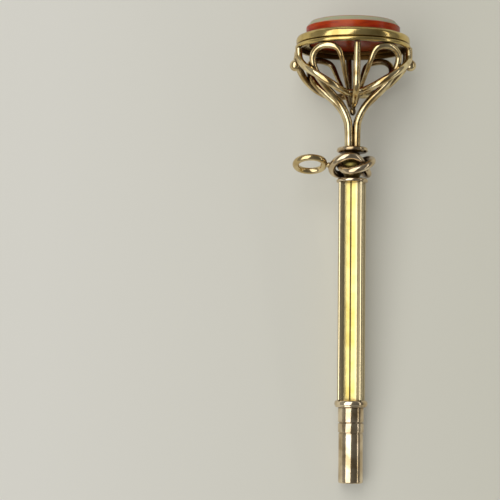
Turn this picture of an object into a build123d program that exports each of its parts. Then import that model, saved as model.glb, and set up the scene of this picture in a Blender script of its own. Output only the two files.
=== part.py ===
# Fob-seal watch key: an oval stone seal in a wire basket on a fluted stem, with a square winding
# socket at the far end and a turning knot that carries the chain ring.
# The key lies along Y, from the pipe's mouth at the origin to the seal's face. +Z is up.
import os
from math import cos, pi, radians, sin, tan
from build123d import *

os.makedirs("parts", exist_ok=True)

# Winding pipe and its steel lining
pipe_length = 8.34
pipe_radius = 1.375
pipe_wall = 0.2
pipe_mouth_round = 0.09
band_step = 0.06
line_heights = (5.43, 6.57)
line_width = 0.14
line_depth = 0.1
socket_side = 1.4
socket_depth = 5.0
liner_recess = 0.12
tang_radius = 0.56
tang_length = 4.0

# Collar and fluted stem
collar_radius = 1.86
collar_length = 0.82
collar_round = 0.24
stem_length = 24.3
ridge_spacing = 2.376
ridge_tip_radius = 0.2
flute_floor = 0.86
flute_side_reach = 0.568
flute_side_depth = 1.06
flute_end_slope = 35.0
stem_turn = -13.0

# Discs, post and turning knot
disc_radius = 1.8
stem_disc_thickness = 0.5
neck_disc_thickness = 0.62
disc_round = 0.2
knot_room = 2.94
sleeve_radius = 0.82
knot_wire_radius = 0.365
knot_mean_radius = 1.85
knot_weave = 0.64
knot_rise = 0.93
knot_turns = 2
knot_waves = 3
knot_lens_share = 0.2
knot_facing = -12.0
knot_points_per_turn = 18
knot_measures_per_turn = 180

# Chain ring
ring_radius = 1.57
ring_wire_radius = 0.375
ring_lift = 0.12
ring_tip = 21.0
solder_radius = 0.33

# Basket of bent wires
basket_height = 11.12
wire_radius = 0.36
swag_radius = 0.4
bar_radius = 0.38
wire_tip_radius = 0.18
neck_spread = 0.42
neck_straight = 1.5
side_bead_radius = 0.66
bead_peg_radius = 0.24
apex_bead_radius = 0.45
apex_height_share = 0.375
bead_width_share = 0.994
bead_height_share = 0.834
taper_share = 0.5
bend_share = 0.45

# Oval bezel and stone
oval_half_width = 6.57
oval_half_depth = 5.55
rim_height = 0.48
rim_wall = 0.6
rim_round = 0.2
band_height = 1.0
band_inset = 0.12
band_round = 0.3
lip_height = 0.26
lip_chamfer = 0.1
collet_inset = 1.02
collet_wall = 0.2
ledge_height = 0.25
ledge_width = 0.36
stone_back_bevel = 0.3
stone_wall_above_lip = 0.82
stone_bevel_height = 0.6
stone_bevel_inset = 0.5

# Clearances
running_gap = 0.04
thrust_gap = 0.06
solder_gap = 0.02
wire_end_gap = 0.1

# Stations along the axis
collar_base = pipe_length
stem_base = collar_base + collar_length
stem_top = stem_base + stem_length
stem_disc_top = stem_top + stem_disc_thickness
neck_disc_base = stem_disc_top + knot_room
neck_top = neck_disc_base + neck_disc_thickness
basket_top = neck_top + basket_height
band_base = basket_top + rim_height
band_top = band_base + band_height
lip_top = band_top + lip_height
knot_height = (stem_disc_top + neck_disc_base) / 2
stone_back = band_base + ledge_height + solder_gap
stone_wall_top = lip_top + stone_wall_above_lip
seal_height = stone_wall_top + stone_bevel_height

# Shared fits
tang_hole_radius = tang_radius + solder_gap
liner_radius = pipe_radius - pipe_wall - solder_gap


def across(height):
    """Plane square to the axis, facing the seal end."""
    return Plane(origin=(0, height, 0), x_dir=(1, 0, 0), z_dir=(0, 1, 0))


def save(built, node):
    """Label one finished piece and write it."""
    built.part.label = node
    export_step(built.part, f"parts/{node}.step")


# Gold outer sleeve of the pipe, stepped up at the first turned line
with BuildPart() as key_pipe:
    with BuildSketch(across(0)):
        Circle(pipe_radius)
    extrude(amount=pipe_length)
    with BuildSketch(across(line_heights[0])):
        Circle(pipe_radius + band_step)
    extrude(amount=pipe_length - line_heights[0])
    for line_height in line_heights:
        with BuildSketch(across(line_height)):
            Circle(pipe_radius + line_width)
            Circle(pipe_radius + band_step - line_depth, mode=Mode.SUBTRACT)
        extrude(amount=line_width, mode=Mode.SUBTRACT)
    fillet(key_pipe.edges().group_by(Axis.Y)[0], pipe_mouth_round)
    with BuildSketch(across(0)):
        Circle(pipe_radius - pipe_wall)
    extrude(amount=pipe_length, mode=Mode.SUBTRACT)
save(key_pipe, "key_pipe")

# Steel lining with the square socket, and the tang that holds collar and stem
with BuildPart() as key_liner:
    with BuildSketch(across(liner_recess)):
        Circle(liner_radius)
    extrude(amount=pipe_length - liner_recess)
    with BuildSketch(across(pipe_length)):
        Circle(tang_radius)
    extrude(amount=collar_length + tang_length)
    with BuildSketch(across(liner_recess)):
        Rectangle(socket_side, socket_side, rotation=stem_turn)
    extrude(amount=socket_depth, mode=Mode.SUBTRACT)
save(key_liner, "key_liner")

# Turned collar between pipe and stem
with BuildPart() as pipe_collar:
    with BuildSketch(across(collar_base)):
        Circle(collar_radius)
    extrude(amount=collar_length)
    fillet(pipe_collar.edges().filter_by(GeomType.CIRCLE), collar_round)
    with BuildSketch(across(collar_base)):
        Circle(tang_hole_radius)
    extrude(amount=collar_length, mode=Mode.SUBTRACT)
save(pipe_collar, "pipe_collar")

# Stem section: in each flute two slightly hollow sides meet in a crease, and run out into the
# rounded ridges beside it
ridge_offset = ridge_spacing / 2
flute_end_reach = ridge_offset - ridge_tip_radius * sin(radians(flute_end_slope))
flute_end_depth = ridge_offset + ridge_tip_radius * cos(radians(flute_end_slope))
with BuildPart() as fluted_stem:
    with BuildSketch(across(stem_base)):
        with BuildLine():
            for quarter in range(4):
                face_turn = stem_turn + quarter * 90
                crease = Vector(0, flute_floor).rotate(Axis.Z, face_turn)
                for side in (-1, 1):
                    side_middle = Vector(side * flute_side_reach, flute_side_depth).rotate(Axis.Z, face_turn)
                    side_end = Vector(side * flute_end_reach, flute_end_depth).rotate(Axis.Z, face_turn)
                    ThreePointArc(crease, side_middle, side_end)
                this_end = Vector(-flute_end_reach, flute_end_depth).rotate(Axis.Z, face_turn)
                next_end = Vector(flute_end_reach, flute_end_depth).rotate(Axis.Z, face_turn + 90)
                ridge_middle = Vector(-ridge_offset, ridge_offset)
                ridge_top = (ridge_middle + ridge_middle.normalized() * ridge_tip_radius).rotate(Axis.Z, face_turn)
                ThreePointArc(this_end, ridge_top, next_end)
        make_face()
    extrude(amount=stem_length)
    with BuildSketch(across(stem_base)):
        Circle(tang_hole_radius)
    extrude(amount=stem_length, mode=Mode.SUBTRACT)
save(fluted_stem, "fluted_stem")

# Post that joins stem and neck, and that the knot turns on
with BuildPart() as swivel_post:
    with BuildSketch(across(stem_top - tang_length)):
        Circle(tang_radius)
    extrude(amount=neck_top - stem_top + tang_length)
save(swivel_post, "swivel_post")

# Disc on top of the stem
with BuildPart() as stem_disc:
    with BuildSketch(across(stem_top)):
        Circle(disc_radius)
        Circle(tang_hole_radius, mode=Mode.SUBTRACT)
    extrude(amount=stem_disc_thickness)
    fillet(stem_disc.edges().filter_by(GeomType.CIRCLE).group_by(SortBy.RADIUS)[-1], disc_round)
save(stem_disc, "stem_disc")

# Disc below the neck wires, rounded on its upper edge
with BuildPart() as neck_disc:
    with BuildSketch(across(neck_disc_base)):
        Circle(disc_radius)
        Circle(tang_hole_radius, mode=Mode.SUBTRACT)
    extrude(amount=neck_disc_thickness)
    fillet(neck_disc.edges().filter_by(GeomType.CIRCLE).group_by(SortBy.RADIUS)[-1], disc_round)
save(neck_disc, "neck_disc")

# Bush that carries the knot on the post
with BuildPart() as knot_sleeve:
    with BuildSketch(across(stem_disc_top + thrust_gap)):
        Circle(sleeve_radius)
        Circle(tang_radius + running_gap, mode=Mode.SUBTRACT)
    extrude(amount=knot_room - 2 * thrust_gap)
save(knot_sleeve, "knot_sleeve")


def bend_radii(route):
    """Largest bend that fits each corner of a route of wire."""
    runs = [Vector(*end) - Vector(*start) for start, end in zip(route, route[1:])]
    radii = []
    for before, after in zip(runs, runs[1:]):
        half_turn = radians(before.get_angle(after)) / 2
        radii.append(bend_share * min(before.length, after.length) / tan(half_turn))
    return radii


def add_wire(route, radius):
    """Sweep round wire along a route, inside the part that is being built."""
    with BuildLine() as path:
        FilletPolyline(*route, radius=bend_radii(route))
    with BuildSketch(Plane(origin=path.line @ 0, z_dir=path.line % 0)) as section:
        Circle(radius)
    sweep(section.sketch, path=path.line)


def add_taper(start, tip, radius):
    """Draw the end of a wire down to its tip."""
    heading = Vector(*tip) - Vector(*start)
    with BuildSketch(Plane(origin=start, z_dir=heading)) as full_section:
        Circle(radius)
    with BuildSketch(Plane(origin=tip, z_dir=heading)) as tip_section:
        Circle(wire_tip_radius)
    loft([full_section.sketch, tip_section.sketch])


def knot_point(around, spread):
    """Place on the knot's wire: the reach in and out and the height go through three waves in two turns."""
    wave = around * knot_waves / knot_turns
    rise = knot_rise * ((1 - knot_lens_share) * cos(wave) + knot_lens_share * cos(wave / knot_waves))
    reach = (knot_mean_radius - knot_weave * sin(wave)) * spread
    heading = around + radians(knot_facing)
    return Vector(reach * sin(heading), knot_height + rise, reach * cos(heading))


# Knot: one closed wire, twice round the sleeve, over and under itself. Its front wave is drawn out
# wide, so that the two strands there open like an eye.
knot_steps = knot_turns * knot_points_per_turn
corner_reach = 1 / cos(pi / knot_points_per_turn)
knot_points = [
    knot_point(2 * pi * step / knot_points_per_turn, corner_reach) for step in range(knot_steps)
]
half_way = knot_steps // 2
start_middle = (knot_points[-1] + knot_points[0]) * 0.5
half_middle = (knot_points[half_way - 1] + knot_points[half_way]) * 0.5
with BuildPart() as knot_wire:
    add_wire([start_middle, *knot_points[:half_way], half_middle], knot_wire_radius)
    add_wire([half_middle, *knot_points[half_way:], start_middle], knot_wire_radius)
save(knot_wire, "knot_wire")
measured = [
    knot_point(2 * pi * step / knot_measures_per_turn, 1) for step in range(knot_turns * knot_measures_per_turn)
]
half_turn = knot_measures_per_turn // 2
strand_distances = [
    (measured[first] - measured[second]).length
    for first in range(len(measured))
    for second in range(first + half_turn, min(len(measured), first + len(measured) - half_turn))
]
print("Least gap of the knot's wire to itself, mm:", round(min(strand_distances) - 2 * knot_wire_radius, 3))

# Chain ring beside the knot, its upper side tipped towards the seal
knot_reach = knot_mean_radius + knot_weave + knot_wire_radius
ring_centre_x = -(knot_reach + solder_gap + ring_wire_radius + ring_radius)
ring_height = knot_height + ring_lift
ring_normal = (0, cos(radians(ring_tip)), -sin(radians(ring_tip)))
with BuildPart(Plane(origin=(ring_centre_x, ring_height, 0), z_dir=ring_normal)) as chain_ring:
    Torus(ring_radius, ring_wire_radius)
save(chain_ring, "chain_ring")

# Solder that joins the ring to the knot, shaped by both
solder_start = ring_centre_x + ring_radius
with BuildPart() as ring_solder:
    with BuildSketch(Plane(origin=(solder_start, (ring_height + knot_height) / 2, 0), z_dir=(1, 0, 0))):
        Circle(solder_radius)
    extrude(amount=-knot_mean_radius - solder_start)
    add(chain_ring.part, mode=Mode.SUBTRACT)
    add(knot_wire.part, mode=Mode.SUBTRACT)
save(ring_solder, "ring_solder")

# Loop wires: up from the neck, out, over below the rim, and down to the apex.
# Each point is a share of the oval's half width, of the loop's height and of the half depth.
loop_shares = (
    (0.110, 0.290, 0.090),
    (0.235, 0.450, 0.160),
    (0.430, 0.580, 0.270),
    (0.620, 0.700, 0.400),
    (0.725, 0.830, 0.510),
    (0.735, 0.930, 0.590),
    (0.620, 1.000, 0.715),
    (0.430, 1.000, 0.810),
    (0.300, 0.960, 0.825),
    (0.240, 0.860, 0.745),
    (0.190, 0.750, 0.560),
    (0.130, 0.640, 0.350),
    (0.045, 0.450, 0.110),
)
loop_height = basket_height - wire_radius - solder_gap
for face_name, face in (("front", 1), ("back", -1)):
    for side_name, side in (("left", -1), ("right", 1)):
        route = [
            (side * neck_spread, neck_top, face * neck_spread),
            (side * neck_spread, neck_top + neck_straight, face * neck_spread),
        ]
        for width_share, height_share, depth_share in loop_shares:
            route.append((
                side * width_share * oval_half_width,
                neck_top + height_share * loop_height,
                face * depth_share * oval_half_depth,
            ))
        loop_tip = Vector(*route[-1])
        taper_start = loop_tip + (Vector(*route[-2]) - loop_tip) * taper_share
        with BuildPart() as loop_wire:
            add_wire([*route[:-1], taper_start], wire_radius)
            add_taper(taper_start, loop_tip, wire_radius)
        save(loop_wire, f"loop_wire_{face_name}_{side_name}")

# Swag wires: hung from one end of the oval to the other, outside the loops and behind the bars.
# Points of the left half, as shares of half width, basket height and half depth. The wire at the
# back is pulled tighter in the middle.
swag_side_shares = (
    (0.955, 0.895, 0.230),
    (0.885, 0.810, 0.400),
    (0.760, 0.734, 0.610),
    (0.590, 0.660, 0.705),
    (0.420, 0.598, 0.715),
)
swag_middle_shares = {
    "front": ((0.255, 0.548, 0.570), (0.110, 0.523, 0.400)),
    "back": ((0.255, 0.572, 0.600), (0.110, 0.575, 0.520)),
}
swag_end_width_share = 0.945
swag_end_depth_share = 0.189
for face_name, face in (("front", 1), ("back", -1)):
    route = []
    swag_shares = swag_side_shares + swag_middle_shares[face_name]
    for side, shares in ((-1, swag_shares), (1, tuple(reversed(swag_shares)))):
        half = [
            (
                side * width_share * oval_half_width,
                neck_top + height_share * basket_height,
                face * depth_share * oval_half_depth,
            )
            for width_share, height_share, depth_share in shares
        ]
        swag_end = (
            side * swag_end_width_share * oval_half_width,
            basket_top - wire_end_gap,
            face * swag_end_depth_share * oval_half_depth,
        )
        route += [swag_end, *half] if side < 0 else [*half, swag_end]
    with BuildPart() as swag_wire:
        add_wire(route, swag_radius)
    save(swag_wire, f"swag_wire_{face_name}")

# Bars: from the middle of the rim down to the apex, in front of the swags.
# Points are shares of the basket's height and of the half depth.
bar_shares = (
    (0.910, 0.850),
    (0.700, 0.808),
    (0.565, 0.770),
    (0.455, 0.480),
    (0.389, 0.144),
)
bar_top_depth_share = 0.905
for face_name, face in (("front", 1), ("back", -1)):
    route = [(0, basket_top - wire_end_gap, face * bar_top_depth_share * oval_half_depth)]
    for height_share, depth_share in bar_shares:
        route.append((0, neck_top + height_share * basket_height, face * depth_share * oval_half_depth))
    bar_tip = Vector(*route[-1])
    taper_start = bar_tip + (Vector(*route[-2]) - bar_tip) * taper_share
    with BuildPart() as bar:
        add_wire([*route[:-1], taper_start], bar_radius)
        add_taper(taper_start, bar_tip, bar_radius)
    save(bar, f"bar_{face_name}")

# Small balls: one hung by a peg from each end of the rim, and one where the bars and loops meet
bead_height = neck_top + bead_height_share * basket_height
peg_place = oval_half_width - rim_wall / 2
for side_name, side in (("left", -1), ("right", 1)):
    with BuildPart() as side_bead:
        with BuildSketch(across(bead_height)):
            with Locations((side * peg_place, 0)):
                Circle(bead_peg_radius)
        extrude(amount=basket_top - solder_gap - bead_height)
        with Locations((side * bead_width_share * oval_half_width, bead_height, 0)):
            Sphere(side_bead_radius)
    save(side_bead, f"side_bead_{side_name}")
with BuildPart(across(neck_top + apex_height_share * basket_height)) as apex_bead:
    Sphere(apex_bead_radius)
save(apex_bead, "apex_bead")


def add_oval_ring(base, height, outer_inset, inner_inset):
    """Add an upright oval band between two insets from the rim's outside."""
    with BuildSketch(across(base)) as oval_ring:
        Ellipse(oval_half_width - outer_inset, oval_half_depth - outer_inset)
        Ellipse(oval_half_width - inner_inset, oval_half_depth - inner_inset, mode=Mode.SUBTRACT)
    extrude(oval_ring.sketch, amount=height)


# Rounded rim that the basket is soldered to
with BuildPart() as bezel_rim:
    add_oval_ring(basket_top, rim_height, 0, rim_wall)
    fillet(bezel_rim.edges().sort_by(SortBy.LENGTH)[-2:], rim_round)
save(bezel_rim, "bezel_rim")

# Wide outer band
with BuildPart() as bezel_band:
    add_oval_ring(band_base, band_height, band_inset, collet_inset - solder_gap)
    band_edges = bezel_band.edges().sort_by(SortBy.LENGTH)[-2:].sort_by(Axis.Y)
    fillet(band_edges[-1], band_round)
    fillet(bezel_band.edges().sort_by(SortBy.LENGTH)[-2:].sort_by(Axis.Y)[0], rim_round)
save(bezel_band, "bezel_band")

# Inner collet whose lip holds the stone
with BuildPart() as bezel_collet:
    add_oval_ring(band_base, lip_top - band_base, collet_inset, collet_inset + collet_wall)
    chamfer(bezel_collet.edges().group_by(Axis.Y)[-1].sort_by(SortBy.LENGTH)[-1], lip_chamfer)
save(bezel_collet, "bezel_collet")

# Ledge that the stone is seated on
stone_inset = collet_inset + collet_wall + solder_gap
with BuildPart() as stone_ledge:
    add_oval_ring(band_base, ledge_height, stone_inset, stone_inset + ledge_width)
save(stone_ledge, "stone_ledge")


def oval_at(height, inset):
    """Sketch one oval section of the stone."""
    with BuildSketch(across(height)) as oval:
        Ellipse(oval_half_width - inset, oval_half_depth - inset)
    return oval.sketch


# Seal stone: bevelled back, upright wall, and a bevel up to the flat blank face
with BuildPart() as seal_stone:
    stone_widest = stone_back + stone_back_bevel
    girdle = oval_at(stone_widest, stone_inset)
    loft([oval_at(stone_back, stone_inset + stone_back_bevel), girdle])
    extrude(girdle, amount=stone_wall_top - stone_widest)
    loft([oval_at(stone_wall_top, stone_inset), oval_at(seal_height, stone_inset + stone_bevel_inset)])
save(seal_stone, "seal_stone")
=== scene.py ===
# Fob-seal watch key: polished gold wire, turned gold and a red stone seal, lying on pale card.
from math import atan2, cos, pi, radians, sin

import bpy
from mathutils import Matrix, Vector


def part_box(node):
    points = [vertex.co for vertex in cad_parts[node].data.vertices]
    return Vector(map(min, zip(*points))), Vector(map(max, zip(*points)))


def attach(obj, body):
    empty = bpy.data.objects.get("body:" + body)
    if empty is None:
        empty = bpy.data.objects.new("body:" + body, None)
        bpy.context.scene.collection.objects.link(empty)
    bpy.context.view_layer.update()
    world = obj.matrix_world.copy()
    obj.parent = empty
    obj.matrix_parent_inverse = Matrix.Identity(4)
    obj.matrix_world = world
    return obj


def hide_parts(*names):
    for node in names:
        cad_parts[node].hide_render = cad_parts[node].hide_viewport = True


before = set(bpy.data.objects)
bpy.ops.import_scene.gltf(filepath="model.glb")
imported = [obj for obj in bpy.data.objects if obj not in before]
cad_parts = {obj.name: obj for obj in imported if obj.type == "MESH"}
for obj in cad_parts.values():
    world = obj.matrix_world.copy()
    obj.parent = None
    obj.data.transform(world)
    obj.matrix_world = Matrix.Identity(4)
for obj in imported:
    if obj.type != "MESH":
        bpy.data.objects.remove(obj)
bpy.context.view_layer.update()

# The pale card that the key lies on: it touches the rim of the seal and the mouth of the pipe,
# so it is tipped a little against the key's axis.
MM = 0.001
card_size = 1600 * MM
rim_low, rim_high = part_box("bezel_rim")
pipe_low, pipe_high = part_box("key_pipe")
mouth_step = 0.06 * MM
rim_rest = Vector((0, rim_low.y, rim_low.z))
pipe_rest = Vector((0, pipe_low.y, -pipe_high.z + mouth_step))
card_tilt = atan2(rim_rest.z - pipe_rest.z, rim_rest.y - pipe_rest.y)
bpy.ops.object.select_all(action="DESELECT")
bpy.ops.mesh.primitive_plane_add(
    size=card_size, location=(rim_rest + pipe_rest) / 2, rotation=(card_tilt, 0, 0))
card = bpy.context.object
card.name = "card"

# Camera: a long lens that looks down on the key from about 164 mm, a little to its left, with the
# seal at the top of the picture.
camera_place = (-16 * MM, 12 * MM, 164 * MM)
camera_turn = (radians(4.771), radians(-1.650), radians(0.670))
lens_length = 105.81
film_width = 36
bpy.ops.object.camera_add(location=camera_place, rotation=camera_turn)
camera = bpy.context.object
camera.data.lens = lens_length
camera.data.sensor_width = film_width
camera.data.clip_start = 1 * MM
bpy.context.scene.camera = camera
bpy.context.scene.view_settings.view_transform = "Standard"


class Value:
    """One output of a shader node, for sums with numbers and with other outputs."""

    def __init__(self, finish, socket):
        self.finish = finish
        self.socket = socket

    def joined(self, operation, first, second):
        return self.finish.node("ShaderNodeMath", {"operation": operation}, {0: first, 1: second})

    def __add__(self, other):
        return self.joined("ADD", self, other)

    def __radd__(self, other):
        return self.joined("ADD", other, self)

    def __sub__(self, other):
        return self.joined("SUBTRACT", self, other)

    def __rsub__(self, other):
        return self.joined("SUBTRACT", other, self)

    def __mul__(self, other):
        return self.joined("MULTIPLY", self, other)

    def __rmul__(self, other):
        return self.joined("MULTIPLY", other, self)


class Finish:
    """A material under construction. node() adds any node and returns one of its outputs."""

    def __init__(self, name):
        self.material = bpy.data.materials.new(name)
        self.material.use_nodes = True
        self.tree = self.material.node_tree
        self.shader = self.tree.nodes["Principled BSDF"]

    def node(self, kind, settings, sockets, output=0):
        made = self.tree.nodes.new(kind)
        for name, value in settings.items():
            setattr(made, name, value)
        for name, value in sockets.items():
            if isinstance(value, Value):
                self.tree.links.new(value.socket, made.inputs[name])
            else:
                made.inputs[name].default_value = value
        return Value(self, made.outputs[output])

    def feed(self, name, value):
        if isinstance(value, Value):
            self.tree.links.new(value.socket, self.shader.inputs[name])
        else:
            self.shader.inputs[name].default_value = value

    def place(self, stretch=(1, 1, 1)):
        """Object coordinates in millimetres, stretched along the axes."""
        coordinates = self.node("ShaderNodeTexCoord", {}, {}, "Object")
        scale = tuple(share / MM for share in stretch)
        return self.node("ShaderNodeMapping", {}, {"Vector": coordinates, "Scale": scale})

    def clouds(self, size, detail=3.0, stretch=(1, 1, 1), roughness=0.5):
        """Soft noise with features of about that many millimetres."""
        return self.node("ShaderNodeTexNoise", {}, {
            "Vector": self.place(stretch), "Scale": 1 / size,
            "Detail": detail, "Roughness": roughness}, "Fac")

    def between(self, value, low, high):
        """Value from low to high, drawn out to run from 0 to 1."""
        return self.node("ShaderNodeMapRange", {}, {"Value": value, "From Min": low, "From Max": high})

    def inward(self):
        """How squarely the surface faces the key's axis: 1 when it looks straight at it."""
        spot = self.node("ShaderNodeTexCoord", {}, {}, "Object")
        to_axis = self.node("ShaderNodeVectorMath", {"operation": "MULTIPLY"}, {0: spot, 1: (-1, 0, -1)})
        to_axis = self.node("ShaderNodeVectorMath", {"operation": "NORMALIZE"}, {0: to_axis})
        facing = self.node("ShaderNodeTexCoord", {}, {}, "Normal")
        return self.node(
            "ShaderNodeVectorMath", {"operation": "DOT_PRODUCT"}, {0: to_axis, 1: facing}, "Value")

    def off_axis(self):
        """Distance from the key's axis, in millimetres."""
        across = self.node(
            "ShaderNodeVectorMath", {"operation": "MULTIPLY"}, {0: self.place(), 1: (1, 0, 1)})
        return self.node("ShaderNodeVectorMath", {"operation": "LENGTH"}, {0: across}, "Value")

    def mix(self, share, first, second):
        return self.node("ShaderNodeMix", {"data_type": "RGBA"}, {0: share, 6: first, 7: second}, 2)


def card_finish():
    """Smooth pale card with painted shade: its colour is a little warmer and darker away from the window.
    To the lens and in the gold it glows faintly, which keeps the key's shadow soft and puts no light on
    the key."""
    finish = Finish("pale_card")
    across = finish.node("ShaderNodeSeparateXYZ", {}, {"Vector": finish.place()}, "X")
    share = finish.between(across, -35.0, 25.0)
    # Painted shade: the far colour is darker and warmer, as the card lies further from the window.
    near, far = (0.535, 0.525, 0.478, 1), (0.47, 0.46, 0.39, 1)
    glow = 0.30
    colour = finish.mix(share, near, far)
    finish.feed("Base Color", colour)
    seen = finish.node("ShaderNodeLightPath", {}, {}, "Is Camera Ray")
    mirrored = finish.node("ShaderNodeLightPath", {}, {}, "Is Glossy Ray")
    finish.feed("Emission Color", finish.mix(seen + mirrored, (0, 0, 0, 1), colour))
    finish.feed("Emission Strength", glow)
    finish.feed("Roughness", 0.9)
    finish.feed("Specular IOR Level", 0.2)
    return finish.material


card.data.materials.append(card_finish())

# Plain soft studio light: a wide soft box over the left shoulder, a weaker one low on the right,
# and a room that is dim overhead, where the lens is, and paler at its walls.
key_middle = Vector((0, 26 * MM, 0))


def soft_box(name, lean, ahead, distance, size, power, colour=(1, 1, 1)):
    """Hang an area lamp that looks at the key, its size given across and along the key. lean is its
    angle from straight above, left positive, and ahead is how far it stands towards the seal."""
    aim = Vector((-sin(radians(lean)), sin(radians(ahead)), cos(radians(lean)))).normalized()
    spot = key_middle + aim * distance
    turn = (-aim).to_track_quat("-Z", "Y").to_euler()
    bpy.ops.object.light_add(type="AREA", location=spot, rotation=turn)
    lamp = bpy.context.object
    lamp.name = name
    lamp.data.shape = "RECTANGLE"
    lamp.data.size = size[1]
    lamp.data.size_y = size[0]
    lamp.data.energy = power
    lamp.data.color = colour
    return lamp


soft_box("window_box", lean=28, ahead=5, distance=0.42, size=(0.36, 1.00), power=2.45)
soft_box(
    "side_box", lean=-62, ahead=5, distance=0.40, size=(0.03, 0.50), power=0.11, colour=(1, 0.96, 0.9))

world = bpy.data.worlds.new("studio")
bpy.context.scene.world = world
world.use_nodes = True
room = world.node_tree
sky_place = room.nodes.new("ShaderNodeTexCoord")
sky_parts = room.nodes.new("ShaderNodeSeparateXYZ")
sky_fall = room.nodes.new("ShaderNodeMapRange")
sky_side = room.nodes.new("ShaderNodeMapRange")
sky_light = room.nodes.new("ShaderNodeMath")
sky_light.operation = "MULTIPLY"
for settings, values in ((sky_fall, (0.30, 0.72, 1.0, 0.6)), (sky_side, (-0.6, 0.8, 0.30, 0.18))):
    for name, value in zip(("From Min", "From Max", "To Min", "To Max"), values):
        settings.inputs[name].default_value = value
room.links.new(sky_place.outputs["Generated"], sky_parts.inputs["Vector"])
room.links.new(sky_parts.outputs["Z"], sky_fall.inputs["Value"])
room.links.new(sky_parts.outputs["X"], sky_side.inputs["Value"])
room.links.new(sky_fall.outputs["Result"], sky_light.inputs[0])
room.links.new(sky_side.outputs["Result"], sky_light.inputs[1])
room.links.new(sky_light.outputs["Value"], room.nodes["Background"].inputs["Strength"])
room.nodes["Background"].inputs["Color"].default_value = (1, 0.98, 0.94, 1)


def gold_finish(
        name, clean, worn, sheen, stretch=(1, 1, 1), dent=0.9,
        recess_reach=1.0, inward_dirt_and_shade=0, pale_reach=0):
    """Old polished gold: the colour drifts and fine rubbing lines cross it. Hollows that no cloth reaches
    are painted dark brown, as tarnish and as the shade that falls there, and the inner share paints
    the faces turned to the key's axis dark as shade. Given pale_reach in mm from the axis, what stands
    out past it is painted paler, as rubbed wear and as highlight, and a crease well inside it is
    painted dark as shade."""
    finish = Finish(name)
    drift = finish.between(finish.clouds(1.6, 4.0), 0.38, 0.66)
    # Painted shade: ambient occlusion darkens the colour towards a dark brown in hollows, as tarnish and as
    # the shade that falls there.
    recess = finish.node(
        "ShaderNodeAmbientOcclusion", {"samples": 8}, {"Distance": recess_reach * MM}, "AO")
    dirt_and_shade = finish.between(recess, 0.85, 0.3)
    # Painted shade: faces turned to the key's axis, inside the basket and the bezel, are darkened as shade.
    if inward_dirt_and_shade:
        inner = finish.between(finish.inward(), 0.15, 0.75) * inward_dirt_and_shade
        dirt_and_shade = 1 - (1 - dirt_and_shade) * (1 - inner)
    colour = finish.mix(drift, clean, worn)
    # Painted highlight: what stands out from the axis is made paler, as rubbed wear and as highlight; the
    # crease well inside it is painted dark as shade.
    if pale_reach:
        pale = finish.between(finish.off_axis(), pale_reach, pale_reach + 0.28)
        rubbed_and_highlight_gold = (0.77, 0.655, 0.42, 1)
        colour = finish.mix(pale * 0.85, colour, rubbed_and_highlight_gold)
        crease = finish.between(finish.off_axis(), pale_reach - 0.08, pale_reach - 0.13) * 0.7
        dirt_and_shade = 1 - (1 - dirt_and_shade) * (1 - crease)
    # Dark brown for tarnish and painted shade.
    tarnish_and_shade_brown = (worn[0] * 0.15, worn[1] * 0.085, worn[2] * 0.05, 1)
    finish.feed("Base Color", finish.mix(dirt_and_shade * 0.92, colour, tarnish_and_shade_brown))
    finish.feed("Metallic", 1.0)
    rubbed = finish.clouds(0.35, 5.0, stretch, 0.65)
    finish.feed("Roughness", sheen + rubbed * 0.10 + dirt_and_shade * 0.2)
    scratches = finish.clouds(0.07, 2.0, stretch)
    dents = finish.clouds(dent, 2.0)
    height = scratches * 0.2 + dents
    bump = finish.node("ShaderNodeBump", {}, {"Height": height, "Strength": 0.3, "Distance": 0.025 * MM})
    finish.feed("Normal", bump)
    return finish.material


def dress(piece, body, slot, material, *nodes):
    """Give a finished piece its material, and say which body and CAD nodes it stands for; slot is not used.
    """
    piece.data.materials.clear()
    piece.data.materials.append(material)
    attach(piece, body)
    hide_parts(*nodes)


weld_reach = 0.0001 * MM


def turned(name, stations, sides=96, solid=False):
    """Draw a ring through stations of half width, half depth and height, as a lathe would cut it."""
    half_width, half_depth, height = stations[0]
    bpy.ops.object.select_all(action="DESELECT")
    bpy.ops.mesh.primitive_circle_add(
        vertices=sides, radius=1, fill_type="NGON" if solid else "NOTHING",
        location=(0, height, 0), rotation=(pi / 2, 0, 0))
    piece = bpy.context.object
    piece.name = name
    piece.scale = (half_width, half_depth, 1)
    bpy.ops.object.transform_apply(location=True, rotation=True, scale=True)
    bpy.ops.object.mode_set(mode="EDIT")
    for before, after in zip(stations, stations[1:]):
        bpy.ops.mesh.extrude_region_move(TRANSFORM_OT_translate={"value": (0, after[2] - before[2], 0)})
        bpy.ops.transform.resize(
            value=(after[0] / before[0], 1, after[1] / before[1]), center_override=(0, after[2], 0))
    bpy.ops.mesh.select_all(action="SELECT")
    bpy.ops.mesh.remove_doubles(threshold=weld_reach)
    bpy.ops.mesh.normals_make_consistent(inside=False)
    bpy.ops.object.mode_set(mode="OBJECT")
    return piece


def soften(piece, width, segments=3, angle=35):
    """Round a piece's edges and shade it smooth."""
    bpy.ops.object.select_all(action="DESELECT")
    piece.select_set(True)
    bpy.context.view_layer.objects.active = piece
    bevel = piece.modifiers.new("edge_rounding", "BEVEL")
    bevel.width = width
    bevel.segments = segments
    bevel.limit_method = "ANGLE"
    bevel.angle_limit = radians(angle)
    bevel.use_clamp_overlap = True
    bpy.ops.object.modifier_apply(modifier=bevel.name)
    bpy.ops.object.shade_smooth_by_angle(angle=radians(40))


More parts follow.
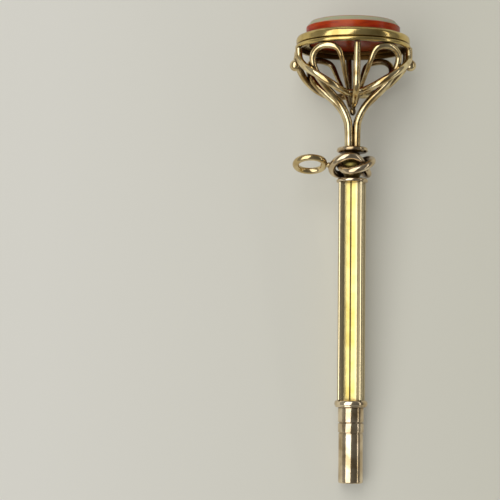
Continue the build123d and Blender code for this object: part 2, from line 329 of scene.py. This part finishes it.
# Winding pipe: a thin gold sleeve over the steel lining, with a fine turned line either side of a
# slightly fuller band, and a mouth that years of winding have rounded.
rose_gold = gold_finish(
    "rose_gold", clean=(0.85, 0.71, 0.50, 1), worn=(0.49, 0.36, 0.20, 1), sheen=0.08, stretch=(1, 0.2, 1))
pipe_radius = 1.375 * MM
band_radius = pipe_high.x
bore_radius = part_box("key_liner")[1].x + 0.02 * MM
line_width = 0.14 * MM
line_floor = band_radius - 0.12 * MM
line_heights = (5.43 * MM, 6.57 * MM)
pipe_stations = [
    (bore_radius, 0.05 * MM),
    (bore_radius + 0.05 * MM, 0),
    (pipe_radius - 0.09 * MM, 0),
    (pipe_radius, 0.12 * MM),
    (pipe_radius, line_heights[0]),
    (line_floor, line_heights[0] + 0.02 * MM),
    (line_floor, line_heights[0] + line_width),
    (band_radius, line_heights[0] + line_width + 0.02 * MM),
    (band_radius, line_heights[1]),
    (line_floor, line_heights[1] + 0.02 * MM),
    (line_floor, line_heights[1] + line_width),
    (band_radius, line_heights[1] + line_width + 0.02 * MM),
    (band_radius, pipe_high.y - 0.06 * MM),
    (band_radius - 0.05 * MM, pipe_high.y),
    (bore_radius, pipe_high.y),
    (bore_radius, 0.05 * MM),
]
pipe = turned("winding_pipe", [(radius, radius, pipe_low.y + height) for radius, height in pipe_stations])
soften(pipe, 0.04 * MM)
dress(pipe, "key", "rose_gold", rose_gold, "key_pipe")

# Steel lining of the pipe: a dull dark tube with the square winding socket, greasy from use.
# It stays as the frame gives it, and only its metal is finished here.


def steel_finish():
    """Dark machined steel with old grease in it."""
    finish = Finish("lining_steel")
    greasy = finish.between(finish.clouds(0.8, 4.0), 0.4, 0.65)
    finish.feed("Base Color", finish.mix(greasy, (0.36, 0.35, 0.34, 1), (0.10, 0.08, 0.06, 1)))
    finish.feed("Metallic", 1.0)
    finish.feed("Roughness", 0.38 + greasy * 0.2)
    tool_marks = finish.clouds(0.06, 3.0, (1, 8, 1))
    finish.feed("Normal", finish.node(
        "ShaderNodeBump", {}, {"Height": tool_marks, "Strength": 0.3, "Distance": 0.01 * MM}))
    return finish.material


def refinish(node, material):
    """Give a piece that stays as the frame gives it a better material."""
    bpy.data.objects[node].material_slots[0].material = material


refinish("key_liner", steel_finish())

# Collar: a plump turned ring of reddish gold that covers the joint between the pipe and the stem,
# with a fine shoulder at its foot. It is soldered to both.
collar_low, collar_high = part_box("pipe_collar")
collar_radius = collar_high.x
tang_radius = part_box("swivel_post")[1].x
collar_stations = [
    (tang_radius, 0),
    (collar_radius - 0.22 * MM, 0),
    (collar_radius - 0.09 * MM, 0.07 * MM),
    (collar_radius - 0.10 * MM, 0.17 * MM),
    (collar_radius - 0.02 * MM, 0.24 * MM),
    (collar_radius, 0.40 * MM),
    (collar_radius - 0.03 * MM, 0.60 * MM),
    (collar_radius - 0.13 * MM, 0.74 * MM),
    (collar_radius - 0.30 * MM, collar_high.y - collar_low.y),
    (tang_radius, collar_high.y - collar_low.y),
    (tang_radius, 0),
]
collar = turned(
    "turned_collar", [(radius, radius, collar_low.y + height) for radius, height in collar_stations])
soften(collar, 0.05 * MM)
dress(collar, "key", "rose_gold", rose_gold, "pipe_collar")

# Stem: a long drawn rod of yellow gold with four hollow flutes between rounded ridges, one of them
# facing the front, a little to the left. Its polish is wavy, its ridges are painted paler, as rubbed
# wear and as highlight, and each flute has a fine crease down its middle, painted dark as shade.
stem_gold = gold_finish(
    "stem_gold", clean=(0.67, 0.54, 0.20, 1), worn=(0.55, 0.42, 0.12, 1), sheen=0.16,
    stretch=(1, 0.12, 1), dent=1.4, pale_reach=1.12)
stem_low, stem_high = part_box("fluted_stem")
stem_turn = radians(-13)
ridge_offset = 1.188 * MM
ridge_tip_radius = 0.20 * MM
flute_floor = 1.02 * MM
floor_reach = 0.76 * MM
floor_depth = 1.10 * MM
floor_edge = (0.04 * MM, 0.02 * MM)
crease_reach = 0.08 * MM
crease_depth = 0.05 * MM
wall_slope = radians(40.5)
side_steps = 8
ridge_steps = 14
stem_slices = 24


def stem_quarter():
    """From the crease of one flute over its hollow floor, up the wall, round the ridge and down again."""
    outline = []
    for step in range(side_steps):
        share = step / side_steps
        outline.append((floor_reach * share, flute_floor + (floor_depth - flute_floor) * share ** 2))
    outline[0] = (0, flute_floor - crease_depth)
    outline[1] = (crease_reach, flute_floor)
    outline.append((floor_reach, floor_depth))
    outline.append((floor_reach + floor_edge[0], floor_depth + floor_edge[1]))
    for step in range(ridge_steps + 1):
        turn = -wall_slope + (pi / 2 + 2 * wall_slope) * step / ridge_steps
        outline.append((
            ridge_offset + ridge_tip_radius * sin(turn), ridge_offset + ridge_tip_radius * cos(turn)))
    return outline + [(height, reach) for reach, height in reversed(outline[1:side_steps + 2])]


quarter = stem_quarter()
bpy.ops.object.select_all(action="DESELECT")
bpy.ops.mesh.primitive_circle_add(
    vertices=4 * len(quarter), radius=MM, fill_type="NGON",
    location=(0, stem_low.y, 0), rotation=(pi / 2, 0, 0))
stem = bpy.context.object
stem.name = "stem_rod"
bpy.ops.object.transform_apply(location=True, rotation=True, scale=True)
ring_order = sorted(stem.data.vertices, key=lambda corner: atan2(corner.co.x, corner.co.z))
for place, corner in enumerate(ring_order):
    reach, height = quarter[place % len(quarter)]
    turn = stem_turn + place // len(quarter) * pi / 2
    corner.co.x = reach * cos(turn) + height * sin(turn)
    corner.co.z = height * cos(turn) - reach * sin(turn)
bpy.ops.object.mode_set(mode="EDIT")
bpy.ops.mesh.select_all(action="SELECT")
slice_length = (stem_high.y - stem_low.y) / stem_slices
for slice_number in range(stem_slices):
    bpy.ops.mesh.extrude_region_move(TRANSFORM_OT_translate={"value": (0, slice_length, 0)})
bpy.ops.mesh.select_all(action="SELECT")
bpy.ops.mesh.normals_make_consistent(inside=False)
bpy.ops.object.mode_set(mode="OBJECT")
bpy.ops.object.shade_smooth_by_angle(angle=radians(25))
dress(stem, "key", "stem_gold", stem_gold, "fluted_stem")

# Discs above and below the knot: thin turned plates of reddish gold, soldered to the stem and to the
# neck, with the post between them. The upper one has a round bead over a flat edge.
stem_disc_low, stem_disc_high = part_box("stem_disc")
disc_radius = stem_disc_high.x
stem_disc_stations = [
    (tang_radius, 0),
    (disc_radius - 0.24 * MM, 0),
    (disc_radius - 0.06 * MM, 0.08 * MM),
    (disc_radius, 0.22 * MM),
    (disc_radius - 0.04 * MM, 0.36 * MM),
    (disc_radius - 0.20 * MM, stem_disc_high.y - stem_disc_low.y),
    (tang_radius, stem_disc_high.y - stem_disc_low.y),
    (tang_radius, 0),
]
lower_disc = turned(
    "lower_disc", [(radius, radius, stem_disc_low.y + height) for radius, height in stem_disc_stations])
soften(lower_disc, 0.05 * MM)
dress(lower_disc, "key", "rose_gold", rose_gold, "stem_disc")
neck_disc_low, neck_disc_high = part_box("neck_disc")
neck_disc_stations = [
    (tang_radius, 0),
    (disc_radius - 0.32 * MM, 0),
    (disc_radius - 0.02 * MM, 0.16 * MM),
    (disc_radius, 0.20 * MM),
    (disc_radius - 0.08 * MM, 0.25 * MM),
    (disc_radius - 0.04 * MM, 0.33 * MM),
    (disc_radius - 0.06 * MM, 0.45 * MM),
    (disc_radius - 0.16 * MM, 0.56 * MM),
    (disc_radius - 0.38 * MM, neck_disc_high.y - neck_disc_low.y),
    (tang_radius, neck_disc_high.y - neck_disc_low.y),
    (tang_radius, 0),
]
upper_disc = turned(
    "upper_disc", [(radius, radius, neck_disc_low.y + height) for radius, height in neck_disc_stations])
soften(upper_disc, 0.04 * MM)
dress(upper_disc, "key", "rose_gold", rose_gold, "neck_disc")
refinish("swivel_post", rose_gold)

# Turning knot: one round wire of reddish gold, closed on itself, wound twice round its bush in three
# waves and soldered to it. In front its two strands part like an eye with the bush between them.


def bent_wire(name, route, radii, closed=False):
    """Bend a round wire along a row of places, each with its own thickness."""
    bpy.ops.object.select_all(action="DESELECT")
    bpy.ops.curve.primitive_nurbs_path_add(location=(0, 0, 0))
    piece = bpy.context.object
    piece.name = name
    line = piece.data.splines[0]
    line.points.add(len(route) - len(line.points))
    for point, place, radius in zip(line.points, route, radii):
        point.co = (*place, 1)
        point.radius = radius / MM
    line.order_u = 3
    line.use_endpoint_u = not closed
    line.use_cyclic_u = closed
    line.resolution_u = 12
    piece.data.bevel_depth = MM
    piece.data.bevel_resolution = 8
    piece.data.use_fill_caps = True
    bpy.ops.object.convert(target="MESH")
    bpy.ops.object.mode_set(mode="EDIT")
    bpy.ops.mesh.select_all(action="SELECT")
    bpy.ops.mesh.remove_doubles(threshold=weld_reach)
    bpy.ops.mesh.normals_make_consistent(inside=False)
    bpy.ops.object.mode_set(mode="OBJECT")
    bpy.ops.object.shade_smooth_by_angle(angle=radians(50))
    return piece


knot_low, knot_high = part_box("knot_wire")
knot_height = (knot_low.y + knot_high.y) / 2
knot_wire_radius = 0.43 * MM
knot_mean_radius = 1.92 * MM
knot_weave = 0.44 * MM
knot_rise = 0.85 * MM
knot_facing = radians(-12)
knot_turns = 2
knot_waves = 3
knot_points_per_turn = 18
knot_route = []
for step in range(knot_turns * knot_points_per_turn):
    around = 2 * pi * step / knot_points_per_turn
    wave = around * knot_waves / knot_turns
    rise = knot_rise * cos(wave)
    reach = (knot_mean_radius - knot_weave * sin(wave)) / cos(pi / knot_points_per_turn)
    heading = around + knot_facing
    knot_route.append((reach * sin(heading), knot_height + rise, reach * cos(heading)))
knot = bent_wire("turning_knot", knot_route, [knot_wire_radius] * len(knot_route), closed=True)
dress(knot, "swivel", "rose_gold", rose_gold, "knot_wire")

# Bush of the knot: a small barrel of yellow gold that turns on the post and shows between the
# strands, its gold painted dull and dark as the shade between them. It has a round belly, to which
# the knot is soldered.
bush_low, bush_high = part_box("knot_sleeve")
bush_tall = bush_high.y - bush_low.y
bush_end_radius = bush_high.x
bush_belly = 0.70 * MM
bush_steps = 12
bush_stations = [(tang_radius, tang_radius, bush_low.y)]
for step in range(bush_steps + 1):
    reach = bush_end_radius + bush_belly * sin(pi * step / bush_steps) ** 2
    bush_stations.append((reach, reach, bush_low.y + bush_tall * step / bush_steps))
bush_stations += [(tang_radius, tang_radius, bush_high.y), (tang_radius, tang_radius, bush_low.y)]
bush = turned("knot_bush", bush_stations)
soften(bush, 0.05 * MM)
# Painted shade: the bush's gold is dull and dark for the shade between the knot's strands.
bush_shade_gold = gold_finish(
    "bush_shade_gold", clean=(0.42, 0.36, 0.10, 1), worn=(0.26, 0.20, 0.06, 1), sheen=0.28, dent=0.8,
    recess_reach=1.6)
dress(bush, "swivel", "rose_gold", bush_shade_gold, "knot_sleeve")

# Chain ring: a small ring of bent wire, its upper side tipped towards the seal. It is squarer where a
# lump of solder holds it to the knot, and turns with it.
ring_gold = gold_finish(
    "ring_gold", clean=(0.78, 0.63, 0.36, 1), worn=(0.58, 0.43, 0.20, 1), sheen=0.10, dent=0.8)
ring_low, ring_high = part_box("chain_ring")
ring_centre = (ring_low + ring_high) / 2
ring_wire_radius = 0.375 * MM
ring_radius = (ring_high.x - ring_low.x) / 2 - ring_wire_radius
ring_tip = radians(21)
ring_bends = 16
ring_route = []
for step in range(ring_bends):
    around = 2 * pi * step / ring_bends
    squared = 1 + 0.10 * max(0, cos(around)) * abs(sin(2 * around))
    reach = ring_radius / cos(pi / ring_bends) * squared
    upward = reach * sin(around)
    ring_route.append((
        ring_centre.x + min(reach * cos(around), ring_radius * 1.01),
        ring_centre.y + upward * sin(ring_tip),
        ring_centre.z + upward * cos(ring_tip)))
ring_radii = [ring_wire_radius * (0.98 + 0.02 * cos(3 * step)) for step in range(ring_bends)]
ring = bent_wire("loop_for_chain", ring_route, ring_radii, closed=True)
dress(ring, "swivel", "wire_gold", ring_gold, "chain_ring")

solder_low, solder_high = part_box("ring_solder")
solder_middle = (solder_low + solder_high) / 2
solder_half_sizes = (0.62 * MM, 0.33 * MM, 0.42 * MM)
bpy.ops.object.select_all(action="DESELECT")
bpy.ops.mesh.primitive_uv_sphere_add(
    segments=32, ring_count=20, radius=1, location=solder_middle, scale=solder_half_sizes)
solder = bpy.context.object
solder.name = "solder_lump"
bpy.ops.object.transform_apply(location=True, rotation=True, scale=True)
bpy.ops.object.mode_set(mode="EDIT")
bpy.ops.mesh.select_all(action="SELECT")
bpy.ops.transform.resize(value=(1, 1, 1.15), center_override=solder_middle)
bpy.ops.mesh.vertices_smooth(factor=0.5, repeat=3)
bpy.ops.object.mode_set(mode="OBJECT")
bpy.ops.object.shade_smooth_by_angle(angle=radians(60))
dress(solder, "swivel", "wire_gold", ring_gold, "ring_solder")

# Loops of the basket: four round gold wires that are soldered together at the neck. They rise from
# it, spread outwards, curl over below the rim and come down thinner to the middle, where their ends
# meet. Their corners are painted brown, as tarnish and as shade, and their faces turned to the key's
# axis are painted dark as shade.
basket_gold = gold_finish(
    "basket_gold", clean=(0.90, 0.75, 0.44, 1), worn=(0.46, 0.31, 0.12, 1), sheen=0.05, dent=0.8,
    recess_reach=2.0, inward_dirt_and_shade=0.9)
neck_top = neck_disc_high.y
basket_top = rim_low.y
half_width = rim_high.x
half_depth = rim_high.z
neck_radius = 0.43 * MM
wire_radius = 0.36 * MM
loop_height = basket_top - neck_top - wire_radius
neck_spread = 0.42 * MM
neck_straight = 2.0 * MM
loop_shares = (
    (0.086, 0.295, 0.090),
    (0.212, 0.450, 0.160),
    (0.430, 0.580, 0.270),
    (0.620, 0.700, 0.400),
    (0.725, 0.830, 0.510),
    (0.735, 0.930, 0.590),
    (0.620, 1.000, 0.715),
    (0.430, 1.000, 0.810),
    (0.300, 0.960, 0.825),
    (0.240, 0.860, 0.745),
    (0.190, 0.750, 0.560),
    (0.130, 0.640, 0.350),
    (0.045, 0.450, 0.110),
)
loop_thick_until = 4
loop_thins_from = 7
loop_tip_radius = 0.17 * MM
for face_name, face in (("front", 1), ("back", -1)):
    for side_name, side in (("left", -1), ("right", 1)):
        route = [
            (side * neck_spread, neck_top, face * neck_spread),
            (side * neck_spread, neck_top + neck_straight, face * neck_spread),
        ]
        radii = [neck_radius, neck_radius]
        for place, (width_share, height_share, depth_share) in enumerate(loop_shares):
            route.append((
                side * width_share * half_width,
                neck_top + height_share * loop_height,
                face * depth_share * half_depth))
            thick = max(0, 1 - place / loop_thick_until)
            thin = max(0, place - loop_thins_from) / (len(loop_shares) - 1 - loop_thins_from)
            radii.append(
                wire_radius + (neck_radius - wire_radius) * thick + (loop_tip_radius - wire_radius) * thin)
        loop = bent_wire(f"loop_{face_name}_{side_name}", route, radii)
        dress(loop, "key", "wire_gold", basket_gold, f"loop_wire_{face_name}_{side_name}")

# Swags: a gold wire on each face that hangs from end to end of the rim, over the loops and behind the
# bar. Bent by hand, each hangs a little lower on the left, and the one at the back is pulled tighter.
basket_height = basket_top - neck_top
swag_shares = (
    (0.945, 0.991, 0.189),
    (0.955, 0.895, 0.200),
    (0.885, 0.805, 0.380),
    (0.760, 0.728, 0.600),
    (0.590, 0.655, 0.705),
    (0.420, 0.593, 0.715),
    (0.255, 0.545, 0.570),
    (0.110, 0.520, 0.400),
)
swag_side_lift = {-1: -0.004, 1: 0.020}
swag_middle_lift = {1: 0, -1: 0.055}
swag_radius = 0.40 * MM
for face_name, face in (("front", 1), ("back", -1)):
    route = []
    for side, shares in ((-1, swag_shares), (1, swag_shares[::-1])):
        for width_share, height_share, depth_share in shares:
            inside = width_share < 0.95
            lift = swag_side_lift[side] * inside + swag_middle_lift[face] * max(0, 1 - width_share / 0.5)
            route.append((
                side * width_share * half_width,
                neck_top + (height_share + lift) * basket_height,
                face * depth_share * half_depth))
    swag = bent_wire(f"swag_{face_name}", route, [swag_radius] * len(route))
    dress(swag, "key", "wire_gold", basket_gold, f"swag_wire_{face_name}")

# Bars: one gold wire in the middle of each face, soldered under the rim and drawn in to the middle of
# the basket, where it ends thin.
bar_shares = (
    (0.991, 0.905),
    (0.910, 0.850),
    (0.700, 0.808),
    (0.565, 0.770),
    (0.455, 0.480),
    (0.389, 0.144),
)
bar_radii = (0.34 * MM, 0.38 * MM, 0.40 * MM, 0.40 * MM, 0.33 * MM, 0.20 * MM)
for face_name, face in (("front", 1), ("back", -1)):
    route = [
        (0, neck_top + height_share * basket_height, face * depth_share * half_depth)
        for height_share, depth_share in bar_shares
    ]
    bar = bent_wire(f"middle_bar_{face_name}", route, bar_radii)
    dress(bar, "key", "wire_gold", basket_gold, f"bar_{face_name}")

# Beads: a ball at each end of the oval, on a short peg that leans in to the rim, the right one set a
# little higher, and a small drop that hides the ends of the loops and bars. All are soldered on.
peg_radius = 0.24 * MM
peg_lean = 0.24 * MM
peg_sunk = 0.02 * MM
drop_radius = 0.36 * MM


def bead(name, radius, place, drawn_out=1, peg_tall=0):
    """Turn a ball, with its lower half drawn out or a leaning peg on top, and set it in its place."""
    stations = []
    for step in range(1, 20):
        turn = pi * step / 20
        reach = radius * sin(turn)
        height = -radius * cos(turn)
        if height < 0 or reach > peg_radius or not peg_tall:
            stations.append((reach, reach, height * (drawn_out if height < 0 else 1)))
    if peg_tall:
        stations += [(peg_radius, peg_radius, 0.98 * radius), (peg_radius, peg_radius, peg_tall)]
    piece = turned(name, stations, sides=48, solid=True)
    for corner in piece.data.vertices:
        if corner.co.y > 0.99 * radius:
            corner.co.x -= peg_lean if place.x > 0 else -peg_lean
    bpy.ops.object.mode_set(mode="EDIT")
    bpy.ops.mesh.select_all(action="SELECT")
    bpy.ops.transform.translate(value=place)
    bpy.ops.object.mode_set(mode="OBJECT")
    bpy.ops.object.shade_smooth_by_angle(angle=radians(50))
    return piece


for side_name, lift in (("left", 0), ("right", 0.22 * MM)):
    bead_low, bead_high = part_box(f"side_bead_{side_name}")
    bead_radius = (bead_high.x - bead_low.x) / 2
    bead_place = Vector(((bead_low.x + bead_high.x) / 2, bead_low.y + bead_radius + lift, 0))
    peg_tall = rim_low.y + peg_sunk - bead_place.y
    ball = bead(f"end_ball_{side_name}", bead_radius, bead_place, peg_tall=peg_tall)
    dress(ball, "key", "wire_gold", basket_gold, f"side_bead_{side_name}")
apex_low, apex_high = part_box("apex_bead")
drop = bead("middle_drop", drop_radius, (apex_low + apex_high) / 2, drawn_out=1.5)
dress(drop, "key", "wire_gold", basket_gold, "apex_bead")

# Bezel: a rounded rim, a plump band over it, and the thin collet whose lip is pressed against the
# stone, all of a deeper yellow gold with dark lines where they meet. Their hollows are painted brown,
# as tarnish and as shade, and the faces turned to the key's axis are painted dark as shade.
bezel_gold = gold_finish(
    "bezel_gold", clean=(0.74, 0.56, 0.22, 1), worn=(0.48, 0.34, 0.11, 1), sheen=0.12, dent=1.2,
    recess_reach=2.0, inward_dirt_and_shade=1)
oval_sides = 192


def oval_stations(profile, base):
    """Turn a profile of inset from the rim's outside and height into stations of the oval lathe."""
    return [
        (half_width - inset * MM, half_depth - inset * MM, base + height * MM) for inset, height in profile]


rim_profile = (
    (0.6, 0), (0.22, 0), (0.08, 0.05), (0.01, 0.16), (0.01, 0.32), (0.09, 0.42), (0.24, 0.48),
    (0.6, 0.48), (0.6, 0),
)
rim = turned("rounded_rim", oval_stations(rim_profile, rim_low.y), oval_sides)
soften(rim, 0.04 * MM)
dress(rim, "key", "bezel_gold", bezel_gold, "bezel_rim")
band_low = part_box("bezel_band")[0]
band_profile = (
    (1.0, 0), (0.34, 0), (0.26, 0.06), (0.16, 0.14), (0.12, 0.30), (0.12, 0.60), (0.17, 0.80), (0.28, 0.94),
    (0.46, 1.0), (1.0, 1.0), (1.0, 0),
)
band = turned("plump_band", oval_stations(band_profile, band_low.y), oval_sides)
soften(band, 0.04 * MM)
dress(band, "key", "bezel_gold", bezel_gold, "bezel_band")
collet_low, collet_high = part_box("bezel_collet")
collet_tall = (collet_high.y - collet_low.y) / MM
collet_profile = (
    (1.22, 0), (1.02, 0), (1.02, collet_tall - 0.12), (1.10, collet_tall), (1.20, collet_tall), (1.22, 0),
)
collet = turned("stone_collet", oval_stations(collet_profile, collet_low.y), oval_sides)
soften(collet, 0.03 * MM)
dress(collet, "key", "bezel_gold", bezel_gold, "bezel_collet")
refinish("stone_ledge", bezel_gold)

# Seal stone: a polished red hardstone, cut to the oval and held by the collet's lip. A bevel is ground
# round its blank face, and its pale grey-green is a painted reflection of the card. Where the basket
# hides its back, it is painted a deeper red for the light that glows through the stone.


def stone_finish(bevel_height):
    """Deep red hardstone: soft clouds and thin darker veins under a glassy polish."""
    finish = Finish("red_stone")
    cloud = finish.between(finish.clouds(3.0, 5.0, (1, 2, 1)), 0.35, 0.68)
    veins = finish.between(finish.clouds(1.1, 6.0, (0.6, 3, 0.6), 0.7), 0.50, 0.62)
    red = finish.mix(cloud, (0.34, 0.022, 0.004, 1), (0.47, 0.068, 0.008, 1))
    veined = finish.mix(veins * 0.5, red, (0.16, 0.012, 0.005, 1))
    # Painted light: where the basket hides the stone's back, its colour turns a deeper, purer red for the
    # light that glows through the stone.
    glow_where_hidden = finish.node("ShaderNodeAmbientOcclusion", {"samples": 8}, {"Distance": 4 * MM}, "AO")
    veined = finish.mix(finish.between(glow_where_hidden, 0.75, 0.25), veined, (0.32, 0.016, 0.005, 1))
    # Painted reflection: the rougher ground bevel is given a pale grey-green, as the card seen in it.
    height = finish.node("ShaderNodeSeparateXYZ", {}, {"Vector": finish.place()}, "Y")
    ground = finish.between(height, bevel_height / MM - 0.06, bevel_height / MM + 0.08)
    flat_face = finish.between(height, seal_high.y / MM - 0.08, seal_high.y / MM - 0.01)
    ground_bevel_and_reflection = ground - flat_face
    finish.feed("Base Color", finish.mix(ground_bevel_and_reflection * 0.9, veined, (0.41, 0.43, 0.29, 1)))
    finish.feed("Roughness", 0.22 + ground_bevel_and_reflection * 0.15)
    finish.feed("Specular IOR Level", 0.2)
    finish.feed("Subsurface Weight", 0.4)
    finish.feed("Subsurface Radius", (1.0, 0.18, 0.06))
    finish.feed("Subsurface Scale", 1.6 * MM)
    grain = finish.clouds(0.25, 3.0)
    finish.feed("Normal", finish.node(
        "ShaderNodeBump", {}, {"Height": grain, "Strength": 0.08, "Distance": 0.01 * MM}))
    return finish.material


seal_low, seal_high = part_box("seal_stone")
stone_tall = (seal_high.y - seal_low.y) / MM
bevel_tall = 0.6
stone_profile = (
    (1.54, 0), (1.24, 0.3), (1.24, stone_tall - bevel_tall), (1.74, stone_tall),
)
stone = turned("seal_of_stone", oval_stations(stone_profile, seal_low.y), oval_sides, solid=True)
soften(stone, 0.035 * MM, segments=3, angle=20)
dress(stone, "key", "stone", stone_finish(seal_high.y - bevel_tall * MM), "seal_stone")
